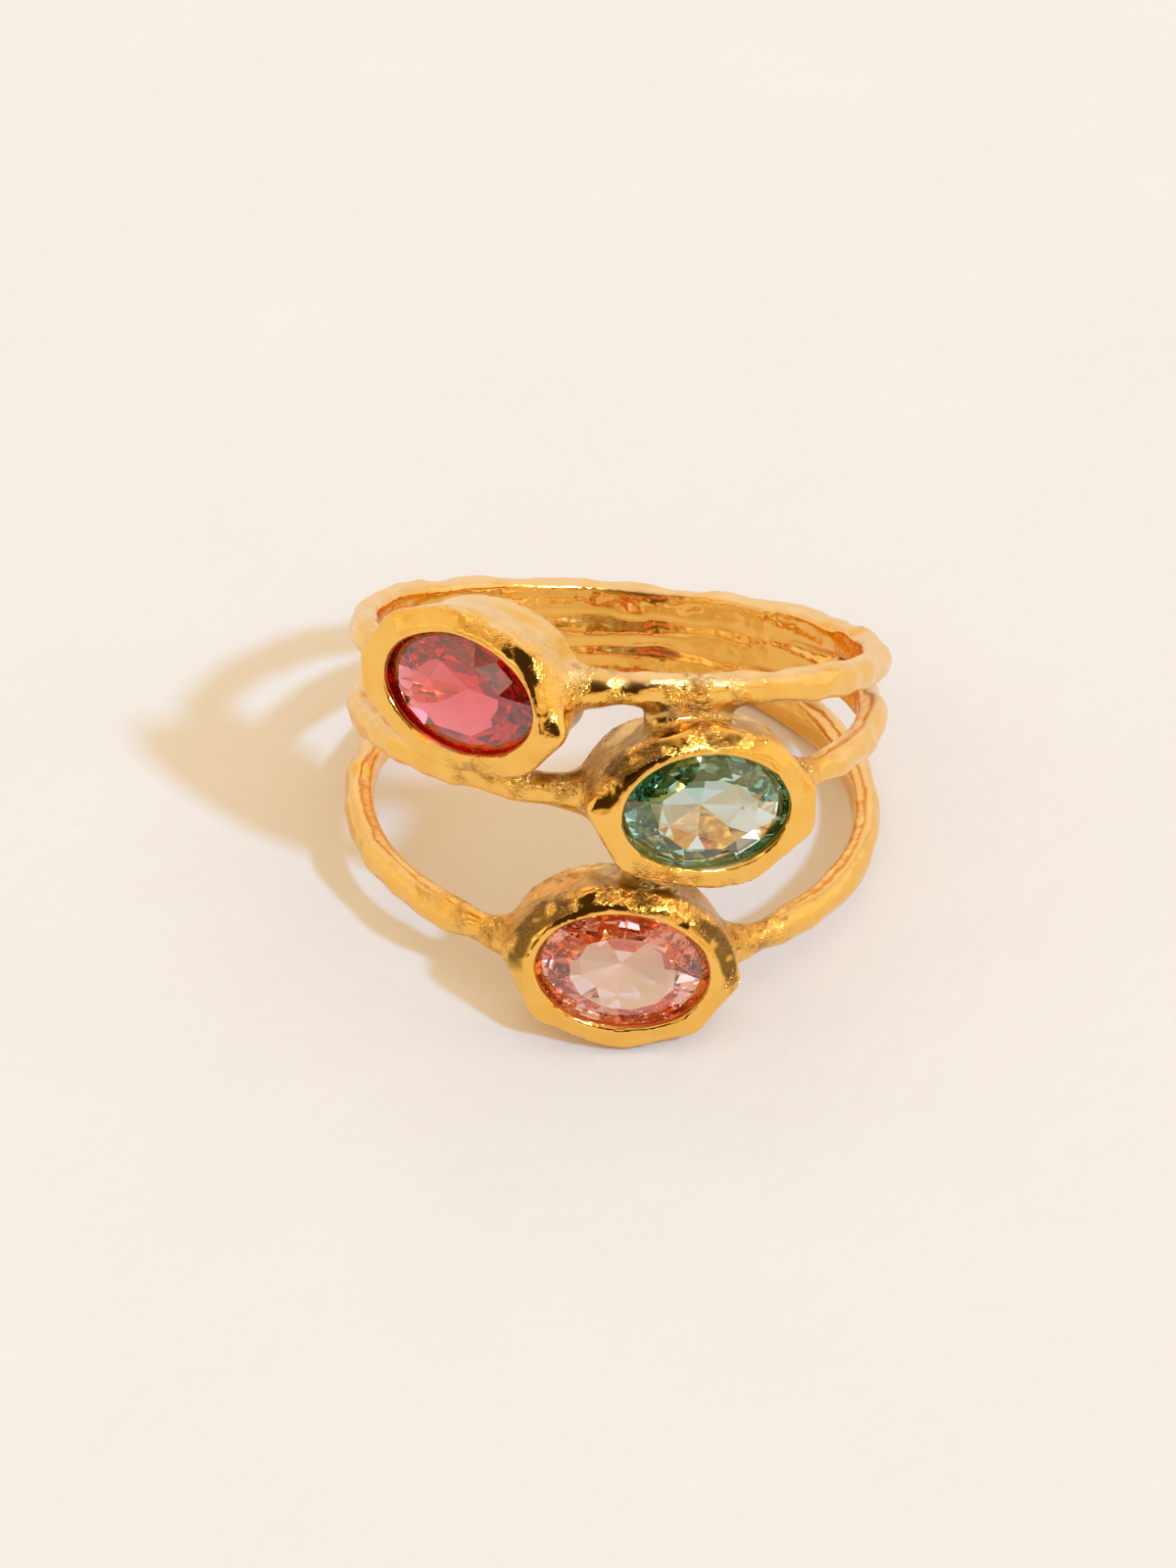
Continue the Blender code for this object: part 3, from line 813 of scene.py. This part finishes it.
def gold_material():
    material, tree, shader = new_material("hammered_gold")
    place = tree.nodes.new("ShaderNodeTexCoord").outputs["Object"]
    mottle = noise_node(tree, place, 900, 3)
    polished = ramp_node(tree, mottle, (0.3, POLISHED[0]), (0.7, POLISHED[1]))
    satin_and_highlight = ramp_node(tree, mottle, (0.3, SATIN_AND_HIGHLIGHT[0]), (0.7, SATIN_AND_HIGHLIGHT[1]))
    is_satin_and_highlight = attribute_node(tree, "satin_and_highlight")
    is_deep_shade = ramp_node(tree, attribute_node(tree, "deep"), (0.24, 0.0), (0.6, 1.0))
    # Painted highlight: paler gold where the satin mark is.
    open_gold = mix_node(tree, is_satin_and_highlight, polished, satin_and_highlight)
    pits = ramp_node(tree, noise_node(tree, place, 2600, 3, 0.6), (0.46, 0.0), (0.58, 0.75))
    in_pits = mix_node(tree, attribute_node(tree, "grain"), (0.0, 0.0, 0.0), pits)
    worn_gold = mix_node(tree, in_pits, open_gold, PITS)
    # Painted dark reflection: the colour turns dark brown where the hollow mark is.
    dark_reflection_share = ramp_node(tree, attribute_node(tree, "hollow_dark_reflection"), (0.1, 0.0), (0.6, 0.92))
    worn_gold = mix_node(tree, dark_reflection_share, worn_gold, PAINTED_DARK_REFLECTION)
    # Painted shade: the colour darkens where the deep mark is.
    tree.links.new(mix_node(tree, is_deep_shade, worn_gold, DEEP_SHADE), shader.inputs["Base Color"])
    shader.inputs["Metallic"].default_value = 1.0
    polish = noise_node(tree, place, 1500, 4)
    glossy = ramp_node(tree, polish, (0.3, 0.06), (0.7, 0.15))
    dull = ramp_node(tree, polish, (0.3, 0.30), (0.7, 0.45))
    skin = mix_node(tree, is_satin_and_highlight, glossy, dull)
    tree.links.new(mix_node(tree, is_deep_shade, skin, (0.26, 0.26, 0.26)), shader.inputs["Roughness"])
    dents = bump_node(tree, noise_node(tree, place, 1000, 2), 0.6, 0.00015)
    grain = ramp_node(tree, noise_node(tree, place, 3800, 3, 0.65), (0.35, 0.0), (0.65, 1.0))
    grains = mix_node(tree, attribute_node(tree, "grain"), (0.5, 0.5, 0.5), grain)
    rough = bump_node(tree, grains, 1.0, 0.00011, dents)
    fine = bump_node(tree, noise_node(tree, place, 9000, 3), 0.25, 0.000008, rough)
    tree.links.new(fine, shader.inputs["Normal"])
    return material


ring.data.materials.clear()
ring.data.materials.append(gold_material())
print("finished with", ring.data.materials[0].name)

# %% [markdown]
# ## The stones
# Each stone is an oval brilliant: a flat table, a crown of small facets, a thin girdle, and a
# pavilion whose facets get flatter towards the point, so that the middle is a window and the edge
# throws the light back. A cutter grinds flats off a lump, and a convex hull does the same in one
# step: it lays the fewest flat faces round a few rings of corner points.

# %% Cut the stones
# Each level of corners: share of the half size, mm from the girdle, corners for each side, turn.
CROWN = ((TABLE_SHARE, CROWN_HEIGHT, 1, 0.5), (0.76, 0.4, 2, 0.5))
PAVILION = ((0.76, 0.60, 2, 0.5), (0.45, 1.05, 1, 0.0), (0.0, 1.35, 1, 0.0))
GIRDLE_CORNERS = 64
UNEVEN_CUT = 0.06  # how far up a pavilion corner may sit from its level


def facet_corners(share, level, count, turn):
    corners = []
    for k in range(count):
        angle = 2 * math.pi * (k + turn) / count
        x, y = STONE.x * share * math.cos(angle), STONE.y * share * math.sin(angle)
        corners.append(Vector((x, y, level)))
    return corners


def cut_stone(name, sides, seed):
    dice = random.Random(seed)
    corners = []
    for level in (GIRDLE_TOP, GIRDLE_FOOT):
        corners += facet_corners(1.0, level, GIRDLE_CORNERS, 0.0)
    for share, up, times, turn in CROWN:
        corners += facet_corners(share, GIRDLE_TOP + up, sides * times, turn)
    for share, down, times, turn in PAVILION:
        for corner in facet_corners(share, GIRDLE_FOOT - down, sides * times if share else 1, turn):
            corners.append(corner + Vector((0, 0, dice.uniform(0, UNEVEN_CUT) if share else 0)))
    bm = bmesh.new()
    for corner in corners:
        bmesh.ops.create_vert(bm, co=PLACES[name] @ corner)
    hull = bmesh.ops.convex_hull(bm, input=bm.verts)
    loose = [item for item in hull["geom_interior"] if isinstance(item, bmesh.types.BMVert)]
    bmesh.ops.delete(bm, geom=loose, context="VERTS")
    bmesh.ops.dissolve_limit(bm, angle_limit=math.radians(0.3), verts=bm.verts, edges=bm.edges)
    bmesh.ops.transform(bm, matrix=RING_LIES, verts=bm.verts)
    stone = object_from(bm, name + "_cut")
    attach(stone, "root")
    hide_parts(name)
    print(name, "has", len(stone.data.polygons), "facets and girdle faces")
    return stone


# %% [markdown]
# The stones are clear, so their colour comes from how far light travels in them. The glass itself is
# white, and a volume inside it takes up the other colours.

# %% Gem materials
Gem = namedtuple("Gem", "node sides colour density ior")
GEMS = (
    Gem("red_stone", 8, (0.95, 0.02, 0.14), 1050, 2.1),
    Gem("aqua_stone", 8, (0.22, 0.69, 0.56), 200, 2.0),
    Gem("pink_stone", 12, (0.97, 0.60, 0.50), 210, 2.2),
)


def gem_material(gem):
    material, tree, shader = new_material(gem.node + "_gem")
    place = tree.nodes.new("ShaderNodeTexCoord").outputs["Object"]
    shader.inputs["Base Color"].default_value = (1, 1, 1, 1)
    shader.inputs["Transmission Weight"].default_value = 1.0
    shader.inputs["IOR"].default_value = gem.ior
    shader.inputs["Specular IOR Level"].default_value = 0.15
    tree.links.new(ramp_node(tree, noise_node(tree, place, 500, 2), (0.4, 0.0), (0.8, 0.02)),
                   shader.inputs["Roughness"])
    absorb = tree.nodes.new("ShaderNodeVolumeAbsorption")
    absorb.inputs["Color"].default_value = (*gem.colour, 1)
    absorb.inputs["Density"].default_value = gem.density
    tree.links.new(absorb.outputs["Volume"], tree.nodes["Material Output"].inputs["Volume"])
    return material


for number, gem in enumerate(GEMS):
    stone = cut_stone(gem.node, gem.sides, number)
    stone.data.materials.append(gem_material(gem))

# %% [markdown]
# ## Table
# The ring lies on pale plaster. A flat sheet would do, but real plaster has a fine tooth, so a faint
# bump catches the low sun.

# %% Table
PLASTER = ((0.885, 0.87, 0.845), (0.905, 0.89, 0.865))


def add_table():
    bm = bmesh.new()
    bmesh.ops.create_grid(bm, x_segments=1, y_segments=1, size=3.0)
    table = object_from(bm, "table")
    material, tree, shader = new_material("plaster")
    place = tree.nodes.new("ShaderNodeTexCoord").outputs["Object"]
    tint = ramp_node(tree, noise_node(tree, place, 120, 4), (0.3, PLASTER[0]), (0.7, PLASTER[1]))
    tree.links.new(tint, shader.inputs["Base Color"])
    shader.inputs["Roughness"].default_value = 0.85
    shader.inputs["Specular IOR Level"].default_value = 0.2
    tooth = bump_node(tree, noise_node(tree, place, 700, 6, 0.6), 0.35, 0.0002)
    tree.links.new(tooth, shader.inputs["Normal"])
    table.data.materials.append(material)
    return table


table = add_table()
print("the table is", round(table.dimensions.x, 1), "m wide")

# %% [markdown]
# ## Light
# A low sun stands in front on the right, and a warm room lies all round. The shadows on the table are
# as warm as the room, and the sunlit table is white, so the sun on it has to be cooler than the room.
# A lamp that cool would make blue glints, so there are two in one place: one only lights the table,
# the other only glints in the gold and the stones. An area lamp could stand for a window. A world
# whose colour changes with direction lights from all sides at once, and gold needs that, because it
# shows nothing but its surroundings.

# %% Sun and room
SUN_FROM = Vector((0.500, -0.483, 0.719))
SUN_COLOUR = (0.24, 0.57, 1.0)
GLINT_COLOUR = (1.0, 0.96, 0.88)
SUN_STRENGTH = 1.8
SUN_WIDTH = 5.0
GLINT_STRENGTH = 1.8
GLINT_WIDTH = 9.0
ROOM_COLOUR = (0.95, 0.745, 0.505)
ROOM_TONES = ((0.33, (0.13, 0.075, 0.03)), (0.41, (0.72, 0.52, 0.31)), (0.57, (0.90, 0.70, 0.45)),
              (0.66, (1.6, 1.4, 1.1)))
STONE_TONES = ((0.40, (0.10, 0.07, 0.04)), (0.47, (0.75, 0.56, 0.37)), (0.56, (1.0, 0.8, 0.6)),
               (0.63, (2.5, 2.3, 2.7)))  # what a stone throws back to the eye
ROOM_SIDES = (  # towards, where it starts and is full, how much of it, colour
    ((0.0, 0.8, 0.6), 0.5, 0.85, 0.85, (1.02, 0.95, 0.86)),
    ((1.0, 0.1, 0.25), 0.75, 0.95, 0.9, (1.15, 1.02, 0.85)),
    ((-1.0, 0.1, 0.2), 0.75, 0.95, 0.8, (1.0, 0.9, 0.72)),
    ((0.0, -0.74, 0.67), 0.83, 0.88, 1.0, (0.05, 0.03, 0.012)),
)


def add_sun(name, strength, colour, width):
    data = bpy.data.lights.new(name, "SUN")
    data.energy = strength
    data.color = colour
    data.angle = math.radians(width)
    sun = bpy.data.objects.new(name, data)
    sun.rotation_euler = SUN_FROM.to_track_quat("Z", "Y").to_euler()
    scene.collection.objects.link(sun)
    return sun


def side_of_room(tree, direction, towards, start, end, most=1.0):
    """From 0 to `most` as a direction turns towards a side of the room."""
    facing = tree.nodes.new("ShaderNodeVectorMath")
    facing.operation = "DOT_PRODUCT"
    facing.inputs[1].default_value = Vector(towards).normalized()
    tree.links.new(direction, facing.inputs[0])
    return ramp_node(tree, facing.outputs["Value"], (start, 0.0), (end, most))


def light_room():
    """Even warm light on the table. In the gold and the stones, a room: a bright wall behind, windows
    at the sides, and a dark patch round the camera."""
    world = bpy.data.worlds.new("room")
    scene.world = world
    world.use_nodes = True
    tree = world.node_tree
    back = tree.nodes["Background"]
    direction = tree.nodes.new("ShaderNodeTexCoord").outputs["Generated"]
    seen = ramp_node(tree, noise_node(tree, direction, 2.2, 2), *ROOM_TONES)
    for towards, start, end, most, colour in ROOM_SIDES:
        seen = mix_node(tree, side_of_room(tree, direction, towards, start, end, most), seen, colour)
    path = tree.nodes.new("ShaderNodeLightPath")
    in_stones = ramp_node(tree, noise_node(tree, direction, 5.0, 1), *STONE_TONES)
    seen = mix_node(tree, path.outputs["Is Transmission Ray"], seen, in_stones)
    tree.links.new(mix_node(tree, path.outputs["Is Diffuse Ray"], seen, ROOM_COLOUR), back.inputs["Color"])


shadows = add_sun("sun_for_shadows", SUN_STRENGTH, SUN_COLOUR, SUN_WIDTH)
shadows.visible_glossy = False
glints = add_sun("sun_for_glints", GLINT_STRENGTH, GLINT_COLOUR, GLINT_WIDTH)
glints.visible_diffuse = False
light_room()
scene.view_settings.view_transform = "Standard"
scene.cycles.max_bounces = 24
scene.cycles.glossy_bounces = 16
scene.cycles.transmission_bounces = 24
print("lit by", [lamp.name for lamp in (shadows, glints)], "and a warm", scene.world.name)
